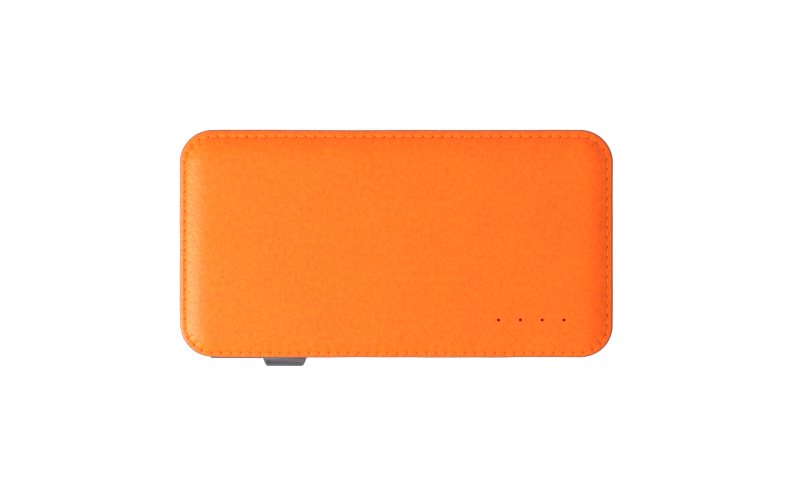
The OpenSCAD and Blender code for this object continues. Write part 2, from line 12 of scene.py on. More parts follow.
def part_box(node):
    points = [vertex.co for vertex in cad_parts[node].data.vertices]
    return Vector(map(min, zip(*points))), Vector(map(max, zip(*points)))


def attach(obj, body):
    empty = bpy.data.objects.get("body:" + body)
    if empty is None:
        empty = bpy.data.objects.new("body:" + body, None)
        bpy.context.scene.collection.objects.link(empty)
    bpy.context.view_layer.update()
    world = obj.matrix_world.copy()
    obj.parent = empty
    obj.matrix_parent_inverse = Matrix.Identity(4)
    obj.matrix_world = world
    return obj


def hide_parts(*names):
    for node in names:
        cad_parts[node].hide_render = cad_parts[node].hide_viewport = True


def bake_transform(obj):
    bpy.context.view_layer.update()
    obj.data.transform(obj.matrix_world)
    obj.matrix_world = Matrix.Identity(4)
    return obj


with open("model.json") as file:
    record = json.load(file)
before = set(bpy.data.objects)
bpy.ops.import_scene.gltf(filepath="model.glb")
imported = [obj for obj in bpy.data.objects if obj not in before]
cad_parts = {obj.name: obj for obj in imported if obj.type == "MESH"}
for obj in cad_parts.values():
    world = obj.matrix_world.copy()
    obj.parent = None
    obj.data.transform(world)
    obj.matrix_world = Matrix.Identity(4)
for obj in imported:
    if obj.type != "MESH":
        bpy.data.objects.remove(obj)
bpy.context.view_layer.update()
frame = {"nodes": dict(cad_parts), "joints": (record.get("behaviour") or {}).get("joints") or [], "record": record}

bl_info = {
    "name": "Leather Power Bank",
    "version": (1, 0, 0),
    "blender": (4, 5, 0),
    "location": "View3D > Sidebar > Power Bank",
    "description": "Builds a power bank in padded, edge-stitched leather covers over its CAD frame",
    "category": "Object",
}

MM = 0.001
COVER_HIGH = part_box("front_leather")[1]
THREAD_LOW, THREAD_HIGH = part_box("front_stitching")
BOOT_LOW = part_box("cable_boot")[0]
CABLE_LOW, CABLE_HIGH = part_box("flat_cable")
HALF_LENGTH = COVER_HIGH.x
HALF_WIDTH = COVER_HIGH.y
MID = COVER_HIGH.z / 2
LIGHT_CHIP = 2 * MM
LIGHT_COUNT = 4
LEATHER_HOLE = 0.4 * MM
FOAM_HOLE = 0.9 * MM
SHARP_ANGLE = 35
SWING = next(joint for joint in frame["joints"] if joint["name"] == "cable_swing")
BODIES = frame["record"]["behaviour"]["bodies"]


# ---- sizes and colours -------------------------------------------------------------------------

class CoverSizes(bpy.types.PropertyGroup):
    """Sizes of the two leather covers and their seams."""

    corner_radius: FloatProperty(
        name="Corner radius", description="Radius of the covers' corners in plan",
        default=10.5 * MM, unit="LENGTH", precision=5)
    leather: FloatProperty(
        name="Leather", description="Thickness of the leather",
        default=0.9 * MM, unit="LENGTH", precision=5)
    droop: FloatProperty(
        name="Droop", description="How far the sewn edge hangs down outside the seam",
        default=0.75 * MM, unit="LENGTH", precision=5)
    drift: FloatVectorProperty(
        name="Seam drift", description="How far the front's seam was sewn off centre",
        subtype="TRANSLATION", unit="LENGTH", size=2, default=(0.15 * MM, -0.35 * MM))
    roll: FloatProperty(
        name="Roll", description="How far the roll reaches in from the seam towards the crown",
        default=4.6 * MM, unit="LENGTH", precision=5)
    rise: FloatProperty(
        name="Rise", description="Height of the crown above the sewn edge",
        default=2.2 * MM, unit="LENGTH", precision=5)
    stitch_inset: FloatProperty(
        name="Stitch line", description="Distance of the stitch line from the outline",
        default=HALF_LENGTH - (THREAD_HIGH.x - (THREAD_HIGH.z - THREAD_LOW.z) / 2),
        unit="LENGTH", precision=5)
    stitches: IntProperty(
        name="Stitches", description="Number of stitches round one cover", default=126, min=8)
    seam_dip: FloatProperty(
        name="Seam dip", description="How far the seam pulls the leather down",
        default=0.28 * MM, unit="LENGTH", precision=5)
    hole_depth: FloatProperty(
        name="Needle hole", description="Depth of each needle hole",
        default=0.3 * MM, unit="LENGTH", precision=5)
    pucker: FloatProperty(
        name="Pucker", description="Depth of the small folds that run from each hole into the roll",
        default=0.1 * MM, unit="LENGTH", precision=5)
    wobble: FloatProperty(
        name="Edge wobble", description="How far the cut outline wanders",
        default=0.12 * MM, unit="LENGTH", precision=5)
    thread: FloatProperty(
        name="Thread", description="Diameter of the sewing thread",
        default=0.42 * MM, unit="LENGTH", precision=5)


class Finishes(bpy.types.PropertyGroup):
    """Colours of the finishes that show."""

    leather: FloatVectorProperty(
        name="Leather", description="Colour of the leather", subtype="COLOR",
        size=3, min=0, max=1, default=(0.88, 0.104, 0.0015))
    leather_deep: FloatVectorProperty(
        name="Leather, in the grain", description="Colour in the creases of the grain",
        subtype="COLOR", size=3, min=0, max=1, default=(0.7, 0.07, 0.0008))
    thread: FloatVectorProperty(
        name="Thread", description="Colour of the sewing thread", subtype="COLOR",
        size=3, min=0, max=1, default=(0.95, 0.17, 0.015))
    cut_edge: FloatVectorProperty(
        name="Cut edge", description="Colour of the painted cut edge of the leather",
        subtype="COLOR", size=3, min=0, max=1, default=(0.14, 0.062, 0.034))
    plastic: FloatVectorProperty(
        name="Plastic", description="Colour of the grey moulded plastic", subtype="COLOR",
        size=3, min=0, max=1, default=(0.046, 0.039, 0.043))


class Studio(bpy.types.PropertyGroup):
    """Camera and light."""

    view_width: FloatProperty(
        name="View width", description="Width that the camera takes in at the covers' edge",
        default=254.4 * MM, unit="LENGTH")
    camera_height: FloatProperty(
        name="Camera height", description="Height of the camera above the covers' edge",
        default=0.9, unit="LENGTH")
    key: FloatProperty(
        name="Key", description="Power of the large light on the left", default=3.9, unit="POWER")
    fill: FloatProperty(
        name="Fill", description="Power of the light behind it", default=2.4, unit="POWER")
    sky: FloatProperty(name="Sky", description="Strength of the light all round", default=0.95)


# ---- materials ---------------------------------------------------------------------------------

class Value:
    """A number that flows between shader nodes; arithmetic on it adds Math nodes."""

    def __init__(self, finish, socket):
        self.finish = finish
        self.socket = socket

    def _maths(self, operation, *terms):
        return self.finish.node(
            "ShaderNodeMath", {"operation": operation}, dict(enumerate(terms)))["Value"]

    def __add__(self, other):
        return self._maths("ADD", self, other)

    def __sub__(self, other):
        return self._maths("SUBTRACT", self, other)

    def __rsub__(self, other):
        return self._maths("SUBTRACT", other, self)

    def __mul__(self, other):
        return self._maths("MULTIPLY", self, other)

    def __gt__(self, other):
        return self._maths("GREATER_THAN", self, other)

    def clamped(self):
        """The same number, held between 0 and 1."""
        return self.finish.node("ShaderNodeClamp", {}, {"Value": self})["Result"]

    __radd__ = __add__
    __rmul__ = __mul__


class Finish:
    """A material under construction: one Principled shader and the nodes that feed it."""

    def __init__(self, name, **constants):
        self.material = bpy.data.materials.new(name)
        self.material.use_nodes = True
        self.tree = self.material.node_tree
        self.shader = self.tree.nodes["Principled BSDF"]
        for socket, value in constants.items():
            self.shader.inputs[socket.replace("_", " ")].default_value = value

    def node(self, kind, settings=None, inputs=None):
        """Adds a node, sets its settings and then its sockets, and returns its outputs by name."""
        made = self.tree.nodes.new(kind)
        for name, value in (settings or {}).items():
            setattr(made, name, value)
        for name, value in (inputs or {}).items():
            by_name = (socket for socket in made.inputs if socket.name == name and socket.enabled)
            self._feed(made.inputs[name] if isinstance(name, int) else next(by_name), value)
        return {output.name: Value(self, output) for output in made.outputs if output.enabled}

    def _feed(self, socket, value):
        if isinstance(value, Value):
            self.tree.links.new(value.socket, socket)
        elif socket.type == "RGBA" and len(value) == 3:
            socket.default_value = (*value, 1)
        else:
            socket.default_value = value

    def feed(self, name, value):
        """Sets or links one socket of the shader."""
        self._feed(self.shader.inputs[name], value)

    def place(self, scale=(1, 1, 1)):
        """Object coordinates, stretched by the three scales."""
        here = self.node("ShaderNodeTexCoord")["Object"]
        return self.node("ShaderNodeMapping", {}, {"Vector": here, "Scale": scale})["Vector"]

    def noise(self, size, detail=2, where=None, roughness=0.5):
        """Soft noise with features about that size across."""
        return self.node("ShaderNodeTexNoise", {}, {
            "Vector": where or self.place(), "Scale": 1 / size, "Detail": detail,
            "Roughness": roughness})["Fac"]

    def cells(self, size, feature="F1"):
        """Distance inside cells about that size across."""
        return self.node("ShaderNodeTexVoronoi", {"feature": feature}, {
            "Vector": self.place(), "Scale": 1 / size})["Distance"]

    def mix(self, share, first, second):
        """Colour that goes from first to second as share goes from 0 to 1."""
        return self.node("ShaderNodeMix", {"data_type": "RGBA"}, {
            "Factor": share, "A": first, "B": second})["Result"]

    def bump(self, height, depth):
        """Raises the surface by height times depth, in metres."""
        self.feed("Normal", self.node("ShaderNodeBump", {}, {
            "Height": height, "Distance": depth, "Strength": 1.0})["Normal"])


def light_places():
    """Middles of the four charge lights, at the face of the front cover."""
    low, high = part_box("charge_leds")
    pitch = (high.x - low.x - LIGHT_CHIP) / (LIGHT_COUNT - 1)
    return [(low.x + LIGHT_CHIP / 2 + i * pitch, (low.y + high.y) / 2, COVER_HIGH.z)
            for i in range(LIGHT_COUNT)]


def light_hole_shade(f):
    """One at the walls of the four punched holes, where painted shade goes, fading to nought just beyond their
    rims.
    """
    squash = 0.2
    rim = LEATHER_HOLE + 0.02 * MM
    fade = 0.2 * MM
    here = f.place((1, 1, squash))
    rims = 0
    for x, y, z in light_places():
        away = f.node("ShaderNodeVectorMath", {"operation": "DISTANCE"}, {
            0: here, 1: (x, y, z * squash)})["Value"]
        rims = 1 - ((away - rim) * (1 / fade)).clamped() + rims
    return rims


def shade(colour, share):
    """The colour made darker, or lighter above 1, but no brighter than white."""
    return tuple(min(1, part * share) for part in colour)


def leather_finish(colours):
    """Fine-grained PU leather, with painted shade along the seam's crease, in the needle holes and on the walls of
    the punched charge-light holes.
    """
    f = Finish("orange_leather", Specular_IOR_Level=0.18)
    pebbles = f.cells(0.62 * MM)
    creases = f.cells(0.95 * MM, "DISTANCE_TO_EDGE")
    fine = f.noise(0.22 * MM, 3)
    mottle = f.noise(1.7 * MM, 3, roughness=0.62)
    clouds = f.noise(14 * MM, 4)
    mask = f.node("ShaderNodeAttribute", {"attribute_name": "seam"})["Vector"]
    parts = f.node("ShaderNodeSeparateXYZ", {}, {"Vector": mask})
    valley = (pebbles * 0.8 + fine * 0.35 - 0.2).clamped()
    deep = (valley * 0.9 + (mottle - 0.5) * 1.9 + (clouds - 0.5) * 0.5 + 0.12).clamped()
    skin = f.mix(deep, tuple(colours.leather), tuple(colours.leather_deep))
    # Painted shade: the leather is darker along the seam's crease.
    crease_shade = f.mix(parts["Z"] * 0.4, skin, shade(colours.leather, 0.8))
    # Painted shade: the needle holes are darkened.
    needle_hole_shade = f.mix(parts["Y"] * 0.75, crease_shade, shade(colours.leather, 0.4))
    edged = f.mix(parts["X"], needle_hole_shade, tuple(colours.cut_edge))
    # Painted shade: the walls of the charge-light holes are darkened to dark red.
    hole_wall_shade = (0.3, 0.004, 0.0004)
    f.feed("Base Color", f.mix(light_hole_shade(f), edged, hole_wall_shade))
    f.feed("Roughness", fine * 0.14 + valley * 0.1 + 0.36)
    grain = pebbles * -0.6 + (creases * 2.2).clamped() * 0.4 + fine * 0.35 + mottle * 1.1
    f.bump(grain, 0.085 * MM)
    return f.material


def thread_finish(colours):
    """Twisted waxed thread."""
    f = Finish("orange_thread", Specular_IOR_Level=0.12)
    strands = f.noise(0.09 * MM)
    f.feed("Base Color", f.mix(strands, shade(colours.thread, 0.72), tuple(colours.thread)))
    f.feed("Roughness", strands * 0.2 + 0.5)
    f.bump(strands, 0.04 * MM)
    return f.material


def plastic_finish(name, colour, roughness=0.42, texture=0.16):
    """Moulded plastic with a fine spark-eroded texture."""
    f = Finish(name, Specular_IOR_Level=0.5)
    speckle = f.noise(texture * MM, 2)
    drift = f.noise(9 * MM, 2)
    uneven = (speckle * 0.4 + drift * 0.5).clamped()
    f.feed("Base Color", f.mix(uneven, shade(colour, 0.86), shade(colour, 1.14)))
    f.feed("Roughness", speckle * 0.14 + (roughness - 0.05))
    f.bump(speckle, 0.012 * MM)
    return f.material


def rubber_finish(name, colour, roughness=0.55):
    """Soft rubbery skin with faint flow lines along X."""
    f = Finish(name, Specular_IOR_Level=0.4)
    lines = f.noise(0.5 * MM, 3, f.place((0.08, 1, 1)))
    dust = f.noise(0.2 * MM, 2)
    f.feed("Base Color", f.mix(lines, shade(colour, 0.88), shade(colour, 1.1)))
    f.feed("Roughness", dust * 0.15 + roughness - 0.06)
    f.bump(dust * 0.6 + lines * 0.4, 0.01 * MM)
    return f.material


def metal_finish(name, colour, roughness, along=(0.05, 1, 1)):
    """Plated or drawn metal, with fine lines along the axis whose scale is small."""
    f = Finish(name, Metallic=1.0)
    lines = f.noise(0.12 * MM, 3, f.place(along))
    stain = f.noise(3 * MM, 3)
    f.feed("Base Color", f.mix((stain * 0.6 + lines * 0.3).clamped(), shade(colour, 0.8), colour))
    f.feed("Roughness", lines * 0.16 + stain * 0.08 + roughness - 0.1)
    f.bump(lines, 0.006 * MM)
    return f.material


def foil_finish():
    """Laminated pouch foil with soft dents and creases."""
    f = Finish("pouch_foil", Metallic=0.85)
    dents = f.noise(7 * MM, 4)
    creases = f.cells(5 * MM, "DISTANCE_TO_EDGE")
    f.feed("Base Color", f.mix(dents, (0.55, 0.56, 0.6), (0.8, 0.8, 0.82)))
    f.feed("Roughness", dents * 0.2 + 0.24)
    f.bump(dents + (creases * 6).clamped() * 0.25, 0.12 * MM)
    return f.material


def foam_finish(name, colour):
    """Closed-cell foam: small pores, their floors darkened with painted shade."""
    f = Finish(name, Specular_IOR_Level=0.15)
    pores = f.cells(0.4 * MM)
    # Painted shade: the pore floors are darker.
    f.feed("Base Color", f.mix(pores, colour, shade(colour, 0.6)))
    f.feed("Roughness", pores * 0.1 + 0.82)
    f.bump(pores * -1.0, 0.08 * MM)
    return f.material


def board_finish():
    """Solder mask over copper tracks, with bare pads."""
    f = Finish("green_board", Specular_IOR_Level=0.5, Coat_Weight=0.3, Coat_Roughness=0.15)
    tracks = f.node("ShaderNodeTexBrick", {"offset": 0.37, "squash": 0.6}, {
        "Vector": f.place(), "Scale": 260.0, "Mortar Size": 0.05, "Mortar Smooth": 0.2,
        "Brick Width": 1.3, "Row Height": 0.35})["Fac"]
    vias = f.cells(2.4 * MM)
    pad = (0.1 - vias) > 0.0
    weave = f.noise(0.5 * MM, 2)
    mask = f.mix(tracks, (0.012, 0.1, 0.035), (0.03, 0.2, 0.07))
    woven = f.mix(weave * 0.3, mask, (0.01, 0.06, 0.02))
    f.feed("Base Color", f.mix(pad, woven, (0.75, 0.6, 0.3)))
    f.feed("Metallic", pad)
    f.feed("Roughness", weave * 0.1 + 0.26)
    f.bump(tracks * 0.7 + weave * 0.3, 0.03 * MM)
    return f.material


def band_finish():
    """Fibre board, its layers showing on the cut edge."""
    f = Finish("fibre_board", Specular_IOR_Level=0.25)
    layers = f.noise(0.3 * MM, 3, f.place((0.1, 0.1, 2)))
    fibres = f.noise(0.15 * MM, 3)
    f.feed("Base Color", f.mix(
        (layers * 0.6 + fibres * 0.5).clamped(), (0.1, 0.062, 0.04), (0.27, 0.17, 0.11)))
    f.feed("Roughness", fibres * 0.2 + 0.65)
    f.bump(fibres, 0.03 * MM)
    return f.material


def tape_finish():
    """Amber polyimide film with trapped air under it."""
    f = Finish("amber_film", Coat_Weight=0.5, Coat_Roughness=0.1)
    air = f.cells(3 * MM)
    streaks = f.noise(2 * MM, 3, f.place((0.2, 1, 1)))
    f.feed("Base Color", f.mix(air, (0.5, 0.2, 0.02), (0.72, 0.36, 0.06)))
    f.feed("Roughness", streaks * 0.2 + 0.15)
    f.bump(air * 0.5 + streaks * 0.5, 0.02 * MM)
    return f.material


def clear_finish(name, colour, alpha, clear=0.6, gloss=0.5):
    """Moulded acrylic or lens, faintly clouded."""
    f = Finish(name, Transmission_Weight=clear, IOR=1.49, Specular_IOR_Level=gloss)
    cloud = f.noise(2 * MM, 3)
    f.feed("Base Color", f.mix(cloud, shade(colour, 0.9), colour))
    f.feed("Roughness", cloud * 0.12 + 0.04)
    f.feed("Alpha", cloud * 0.1 + alpha)
    f.bump(cloud, 0.01 * MM)
    return f.material


# ---- modelling helpers -------------------------------------------------------------------------

def take(piece):
    """Makes piece the active object and the only one selected."""
    bpy.ops.object.select_all(action="DESELECT")
    piece.select_set(True)
    bpy.context.view_layer.objects.active = piece


def modify(piece, kind, **settings):
    """Adds a modifier with these settings and applies it."""
    take(piece)
    modifier = piece.modifiers.new(kind, kind)
    for name, value in settings.items():
        setattr(modifier, name, value)
    bpy.ops.object.modifier_apply(modifier=modifier.name)


def paint(piece, material):
    """Gives the whole piece one material."""
    piece.data.materials.clear()
    piece.data.materials.append(material)
    for face in piece.data.polygons:
        face.material_index = 0


def smooth(piece, angle=SHARP_ANGLE):
    """Shades the piece smooth, apart from edges sharper than the angle in degrees."""
    take(piece)
    bpy.ops.object.shade_smooth_by_angle(angle=math.radians(angle))


def new_piece(name, vertices, faces):
    """A mesh object from points and faces, at the origin."""
    mesh = bpy.data.meshes.new(name)
    mesh.from_pydata(vertices, [], faces)
    mesh.update()
    piece = bpy.data.objects.new(name, mesh)
    bpy.context.scene.collection.objects.link(piece)
    return piece


def stand_for(piece, node, material):
    """The piece takes the node's place, on its body, in this material."""
    paint(piece, material)
    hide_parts(node)
    body = next(body for body, nodes in BODIES.items() if node in nodes)
    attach(piece, body)
    return piece


def softened(node, name, material, radius, segments=2):
    """A copy of the node with its doubles merged and its sharp edges rounded."""
    doubles, flat = 0.002 * MM, math.radians(0.5)
    piece = bpy.data.objects.new(name, frame["nodes"][node].data.copy())
    bpy.context.scene.collection.objects.link(piece)
    take(piece)
    bpy.ops.object.mode_set(mode="EDIT")
    bpy.ops.mesh.select_all(action="SELECT")
    bpy.ops.mesh.remove_doubles(threshold=doubles)
    bpy.ops.mesh.dissolve_limited(angle_limit=flat)
    bpy.ops.object.mode_set(mode="OBJECT")
    modify(piece, "BEVEL", width=radius, segments=segments, limit_method="ANGLE",
           angle_limit=math.radians(SHARP_ANGLE), use_clamp_overlap=True, harden_normals=False)
    smooth(piece)
    return stand_for(piece, node, material)


def repeat(piece, places):
    """Puts one copy of the piece's mesh at each place, all in one mesh."""
    grown = bmesh.new()
    for place in places:
        copy = piece.data.copy()
        copy.transform(place)
        grown.from_mesh(copy)
        bpy.data.meshes.remove(copy)
    grown.to_mesh(piece.data)
    grown.free()


# ---- the lap round a cover ---------------------------------------------------------------------

class Lap:
    """The stitch line round a cover: where each point along it lies and which way is out."""

    def __init__(self, sizes):
        self.corner = sizes.corner_radius
        self.inset = sizes.stitch_inset
        self.radius = sizes.corner_radius - sizes.stitch_inset
        self.long = 2 * (HALF_LENGTH - self.corner)
        self.short = 2 * (HALF_WIDTH - self.corner)
        self.bend = math.pi / 2 * self.radius
        self.half = self.long + self.short + 2 * self.bend
        self.step = 2 * self.half / sizes.stitches

    def at(self, along):
        """(skeleton point, outward direction) at a distance along the stitch line."""
        side = -1 if along % (2 * self.half) >= self.half else 1
        s = along % self.half
        if s < self.long:
            point, out = Vector((s - self.long / 2, -self.short / 2)), Vector((0, -1))
        elif s < self.long + self.bend:
            turn = (s - self.long) / self.radius
            point = Vector((self.long / 2, -self.short / 2))
            out = Vector((math.sin(turn), -math.cos(turn)))
        elif s < self.long + self.bend + self.short:
            point = Vector((self.long / 2, s - self.long - self.bend - self.short / 2))
            out = Vector((1, 0))
        else:
            turn = (s - self.long - self.bend - self.short) / self.radius
            point = Vector((self.long / 2, self.short / 2))
            out = Vector((math.cos(turn), math.sin(turn)))
        return side * point, side * out

    def columns(self, gaps, drift=(0, 0)):
        """One column at each of these distances from every needle hole: (point, out, gap,
        stitch, inset of the seam there)."""
        for stitch in range(round(2 * self.half / self.step)):
            for gap in gaps:
                base, out = self.at(stitch * self.step + gap)
                yield base, out, gap, stitch, self.inset - Vector(drift).dot(out)


def bell(distance, width):
    """One at no distance, falling to a third at the width and to nought beyond it."""
    return math.exp(-(distance / width) ** 2)


def roll_height(sizes, inset, line=None):
    """Height of the plain cover above the middle plane; inset from its outline, seam at line."""
    line = sizes.stitch_inset if line is None else line
    flat, easing = 0.3 * MM, 0.5 * MM
    start = inset - line - flat
    rising = (start + math.hypot(start, easing)) / 2
    outside = max(0, 1 - inset / line)
    return MID - sizes.rise * (1 - math.erf(rising / sizes.roll)) - sizes.droop * outside ** 1.15


def ripple(x, y, tightness, number):
    """Soft unevenness from -1 to 1; the number picks the pattern."""
    return noise.noise(Vector((x * tightness, y * tightness, number)))


def outline_shift(sizes, point, number):
    """How far the cut outline wanders outwards (or inwards, below nought) at a point."""
    x, y = point
    waves = ripple(x, y, 38, number) + 0.5 * ripple(x, y, 110, number)
    on_long_side = abs(y) > HALF_WIDTH * 0.7
    pinch = 0.08 * MM * (1 - (x / HALF_LENGTH) ** 2) if on_long_side else 0
    worn_corner = Vector((-HALF_LENGTH, -HALF_WIDTH)) * 0.95
    worn = 0.42 * MM * bell((Vector((x, y)) - worn_corner).length, 9 * MM)
    return sizes.wobble * (waves - 0.15) - pinch - worn


def ring_points(columns, inset, height, sizes, number):
    """Points of one ring: all columns at an inset, each at height(column, x, y)."""
    wander_reach = 5 * MM
    fade = max(0, 1 - inset / wander_reach) ** 2
    points = []
    for column in columns:
        base, out = column[0], column[1]
        edge = base + out * sizes.corner_radius
        place = base + out * (sizes.corner_radius - inset + fade * outline_shift(sizes, edge, number))
        points.append((place.x, place.y, height(column, place.x, place.y)))
    return points


def shrunk_ring(ring, share, height):
    """A ring drawn in towards the middle line of the cover, to that share of the way."""
    spine = HALF_LENGTH - HALF_WIDTH
    points = []
    for x, y, _ in ring:
        middle = max(-spine, min(spine, x))
        place = (x + (middle - x) * share, y * (1 - share))
        points.append((*place, height(None, *place)))
    return points


def level(value):
    """The same height at every point of a ring."""
    return lambda column, x, y: value


def loft(name, rings, side):
    """A closed mesh from the top's middle outwards, over the edge and back under to the middle."""
    count = len(rings[0])
    vertices = [(x, y, MID + side * z) for ring in rings for x, y, z in ring]
    faces = [tuple(range(count)), tuple(reversed(range(len(vertices) - count, len(vertices))))]
    for ring in range(len(rings) - 1):
        low, high = ring * count, (ring + 1) * count
        for j in range(count):
            k = (j + 1) % count
            faces.append((low + j, high + j, high + k, low + k))
    if side < 0:
        faces = [tuple(reversed(face)) for face in faces]
    return new_piece(name, vertices, faces)


# Insets of a cover's rings in mm, closest near the seam; how far the rings of the crown are drawn
# in; and where the columns stand round each needle hole, in mm, the last halfway to the next hole
SEAM_RINGS = [9.2, 8.3, 7.5, 6.7, 5.9, 5.2, 4.6, 4.1, 3.7, 3.35, 3.05, 2.8, 2.6, 2.45, 2.32, 2.2,
              2.08, 1.95, 1.8, 1.6, 1.35, 1.05, 0.75, 0.45]
CROWN_SHARES = [0.75, 0.5, 0.28, 0.1]
NEEDLE_GAPS = [-1.1, -0.72, -0.42, -0.2, 0, 0.2, 0.42, 0.72, 1.1, 1.54]


def cover(name, sizes, side, number):
    """Leather cover with its seam, needle holes and puckers; side is 1 in front, -1 behind."""
    drift = sizes.drift if side > 0 else (0, 0)
    columns = list(Lap(sizes).columns([gap * MM for gap in NEEDLE_GAPS], drift))
    rng = random.Random(number)
    pull = [rng.uniform(0.7, 1.25) for _ in range(sizes.stitches + 1)]
    swell = 0.1 * MM if side > 0 else 0
    roll_middle, crown_inset = 6 * MM, 9 * MM

    def top(inset):
        rolling = bell(inset - roll_middle, 2.4 * MM)

        def height(column, x, y):
            _, out, gap, stitch, line = column
            off = inset - line
            dip = sizes.seam_dip * bell(off, 0.46 * MM)
            lip = 0.08 * MM * bell(off + 1.0 * MM, 0.5 * MM)
            hole = sizes.hole_depth * bell(gap + 0.5 * off, 0.25 * MM) * bell(off, 0.24 * MM)
            gathers = 1 + 9 * (out.x * out.y) ** 2
            fold = bell(gap - 0.25 * off, 0.55 * MM) * pull[stitch] * gathers * sizes.pucker * (
                bell(off - 1.0 * MM, 0.9 * MM) + 0.5 * bell(off + 0.8 * MM, 0.5 * MM))
            wave = ripple(x, y, 70, number) * 0.07 * MM * rolling
            return roll_height(sizes, inset, line) - dip + lip - hole - fold + wave

        return height

    def crown(_, x, y):
        across = max(0, 1 - (x / (HALF_LENGTH - crown_inset)) ** 4)
        inner = across * max(0, 1 - (y / (HALF_WIDTH - crown_inset)) ** 4)
        wave = ripple(x, y, 26, number) - 0.5
        return MID + swell * (inner + 0.4 * wave * inner)

    def ring(inset, height):
        return ring_points(columns, inset, height, sizes, number)

    edge = roll_height(sizes, 0.25 * MM)
    under = MID - sizes.rise - sizes.leather
    over_ring = ring(SEAM_RINGS[0] * MM, top(SEAM_RINGS[0] * MM))
    rings = [shrunk_ring(over_ring, share, crown) for share in CROWN_SHARES]
    rings += [ring(inset * MM, top(inset * MM)) for inset in SEAM_RINGS]
    rings += [ring(inset * MM, level(edge - drop * MM))
              for inset, drop in ((0.25, 0), (0.12, 0.04), (0.03, 0.11), (0, 0.22))]
    rings += [ring(0, level(under - 0.1 * MM))]
    rings += [ring(inset * MM, level(under)) for inset in (1.4, 2.9)]
    rings += [ring(inset * MM, level(roll_height(sizes, inset * MM) - sizes.leather))
              for inset in (4.1, 5.9, 8.3)]
    piece = loft(name, rings, side)
    mark_seam(piece, len(rings), columns)
    return piece


def mark_seam(piece, ring_count, columns):
    """Stores where the leather is dyed at its cut edge, and where painted shade goes in the needle holes and along
    the seam's crease.
    """
    first_edge = len(CROWN_SHARES) + len(SEAM_RINGS)
    edge_rings = 6
    values = []
    for index in range(ring_count):
        on_top = len(CROWN_SHARES) <= index < first_edge
        on_edge = first_edge <= index < first_edge + edge_rings
        dyed = 1.0 if on_edge else 0.35 * (index == first_edge - 1)
        for _, _, gap, _, line in columns:
            hole = crease_shade = 0.0
            if on_top:
                off = SEAM_RINGS[index - len(CROWN_SHARES)] * MM - line
                hole = bell(gap + 0.5 * off, 0.3 * MM) * bell(off, 0.3 * MM)
                # Mask for the painted shade along the seam's crease.
                crease_shade = bell(off, 0.6 * MM)
            values += [dyed, hole, crease_shade]
    attribute = piece.data.attributes.new("seam", "FLOAT_VECTOR", "POINT")
    attribute.data.foreach_set("vector", values)


# ---- pieces ------------------------------------------------------------------------------------

def cut_away(piece, cutters):
    """Takes all the cutters out of a piece at once."""
    take(cutters[0])
    for cutter in cutters:
        cutter.select_set(True)
    bpy.ops.object.join()
    punch = bpy.context.object
    bpy.ops.object.transform_apply(location=True, rotation=True, scale=True)
    modify(piece, "BOOLEAN", object=punch, operation="DIFFERENCE", solver="MANIFOLD")
    bpy.data.objects.remove(punch)


def round_cutter(radius, length, place, sides, turn=(0, 0, 0)):
    """A round cutter for cut_away."""
    bpy.ops.object.select_all(action="DESELECT")
    bpy.ops.mesh.primitive_cylinder_add(
        vertices=sides, radius=radius, depth=length, location=place, rotation=turn)
    return bpy.context.object


def punch_lights(piece, radius):
    """Cuts the four charge-light holes."""
    length, sunk = 3 * MM, 0.4 * MM
    cut_away(piece, [round_cutter(radius, length, (x, y, z - sunk), 24)
                     for x, y, z in light_places()])


def groove_cap(piece):
    """Cuts three finger grooves along the outer face of the plug's cap."""
    low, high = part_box("plug_cap")
    radius, length, pitch = 0.42 * MM, 8.5 * MM, 1.5 * MM
    proud, towards_end = 0.12 * MM, 1.6 * MM
    middle = (low + high) / 2
    along_x = (0, math.pi / 2, 0)
    places = [(middle.x - towards_end, low.y - proud, middle.z + row * pitch)
              for row in (-1, 0, 1)]
    cut_away(piece, [round_cutter(radius, length, place, 16, along_x) for place in places])


class PIECE_OT_covers(bpy.types.Operator):
    """Model the two padded leather covers"""

    bl_idname = "power_bank.covers"
    bl_label = "Leather covers"

    def execute(self, context):
        sizes, colours = context.scene.cover_sizes, context.scene.finishes
        material = leather_finish(colours)
        for name, node, side, number in (
                ("front_cover", "front_leather", 1, 3), ("back_cover", "back_leather", -1, 8)):
            piece = cover(name, sizes, side, number)
            if side > 0:
                punch_lights(piece, LEATHER_HOLE)
            smooth(piece, 50)
            stand_for(piece, node, material)
        return {"FINISHED"}


def one_stitch(sizes, length):
    """Two plies of thread, twisted round each other, with their ends bent down."""
    radius, apart = sizes.thread * 0.31, sizes.thread * 0.23
    twist = math.radians(300)
    plies = []
    for side in (-1, 1):
        bpy.ops.object.select_all(action="DESELECT")
        bpy.ops.mesh.primitive_cylinder_add(
            vertices=6, radius=radius, depth=length,
            location=(0, side * apart, 0), rotation=(0, math.pi / 2, 0))
        plies.append(bpy.context.object)
    take(plies[0])
    plies[1].select_set(True)
    bpy.ops.object.join()
    piece = bpy.context.object
    bpy.ops.object.transform_apply(location=True, rotation=True, scale=True)
    bpy.ops.object.mode_set(mode="EDIT")
    mesh = bmesh.from_edit_mesh(piece.data)
    for element in (*mesh.verts, *mesh.edges, *mesh.faces):
        element.select = False
    for edge in mesh.edges:
        edge.select = abs(edge.verts[0].co.x - edge.verts[1].co.x) > length / 2
    bpy.ops.mesh.subdivide(number_cuts=4)
    bpy.ops.object.mode_set(mode="OBJECT")
    modify(piece, "SIMPLE_DEFORM", deform_method="TWIST", deform_axis="X", angle=twist)
    for reach, drop in ((0.28, 0.05), (0.48, 0.17)):
        bpy.ops.object.mode_set(mode="EDIT")
        mesh = bmesh.from_edit_mesh(piece.data)
        for element in (*mesh.edges, *mesh.faces):
            element.select = False
        for vertex in mesh.verts:
            vertex.select = abs(vertex.co.x) > reach * length
        mesh.select_flush_mode()
        bpy.ops.transform.translate(value=(0, 0, -drop * MM))
        bpy.ops.object.mode_set(mode="OBJECT")
    return piece


